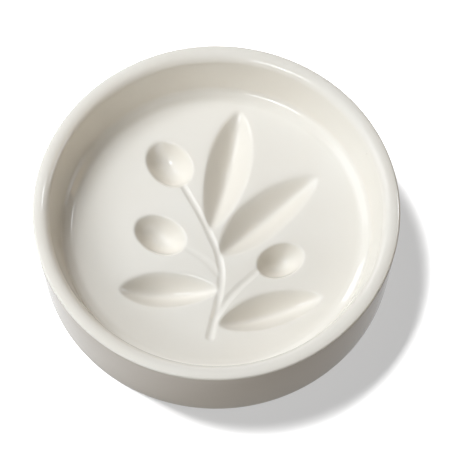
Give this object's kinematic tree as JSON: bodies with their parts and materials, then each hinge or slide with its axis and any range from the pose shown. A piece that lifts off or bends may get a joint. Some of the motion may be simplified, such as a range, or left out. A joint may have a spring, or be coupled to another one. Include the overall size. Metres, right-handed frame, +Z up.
{
  "type": "oil dipping dish",
  "caption": "Round glazed stoneware dish for dipping oil, with a straight wall, a softly domed lip and an olive sprig sunk into its floor as wells that the oil fills.",
  "frame": {"origin": "middle of the foot ring, on the surface that the dish stands on", "axes": "+Z up out of the basin, +Y from the free end of the sprig's stem towards its top leaf, +X to the right of the sprig"},
  "size_m": [0.12, 0.12, 0.0307],
  "materials": {
    "glaze": "gloss warm white glaze"
  },
  "bodies": {
    "root": {"dish": "glaze"}
  },
  "joints": []
}
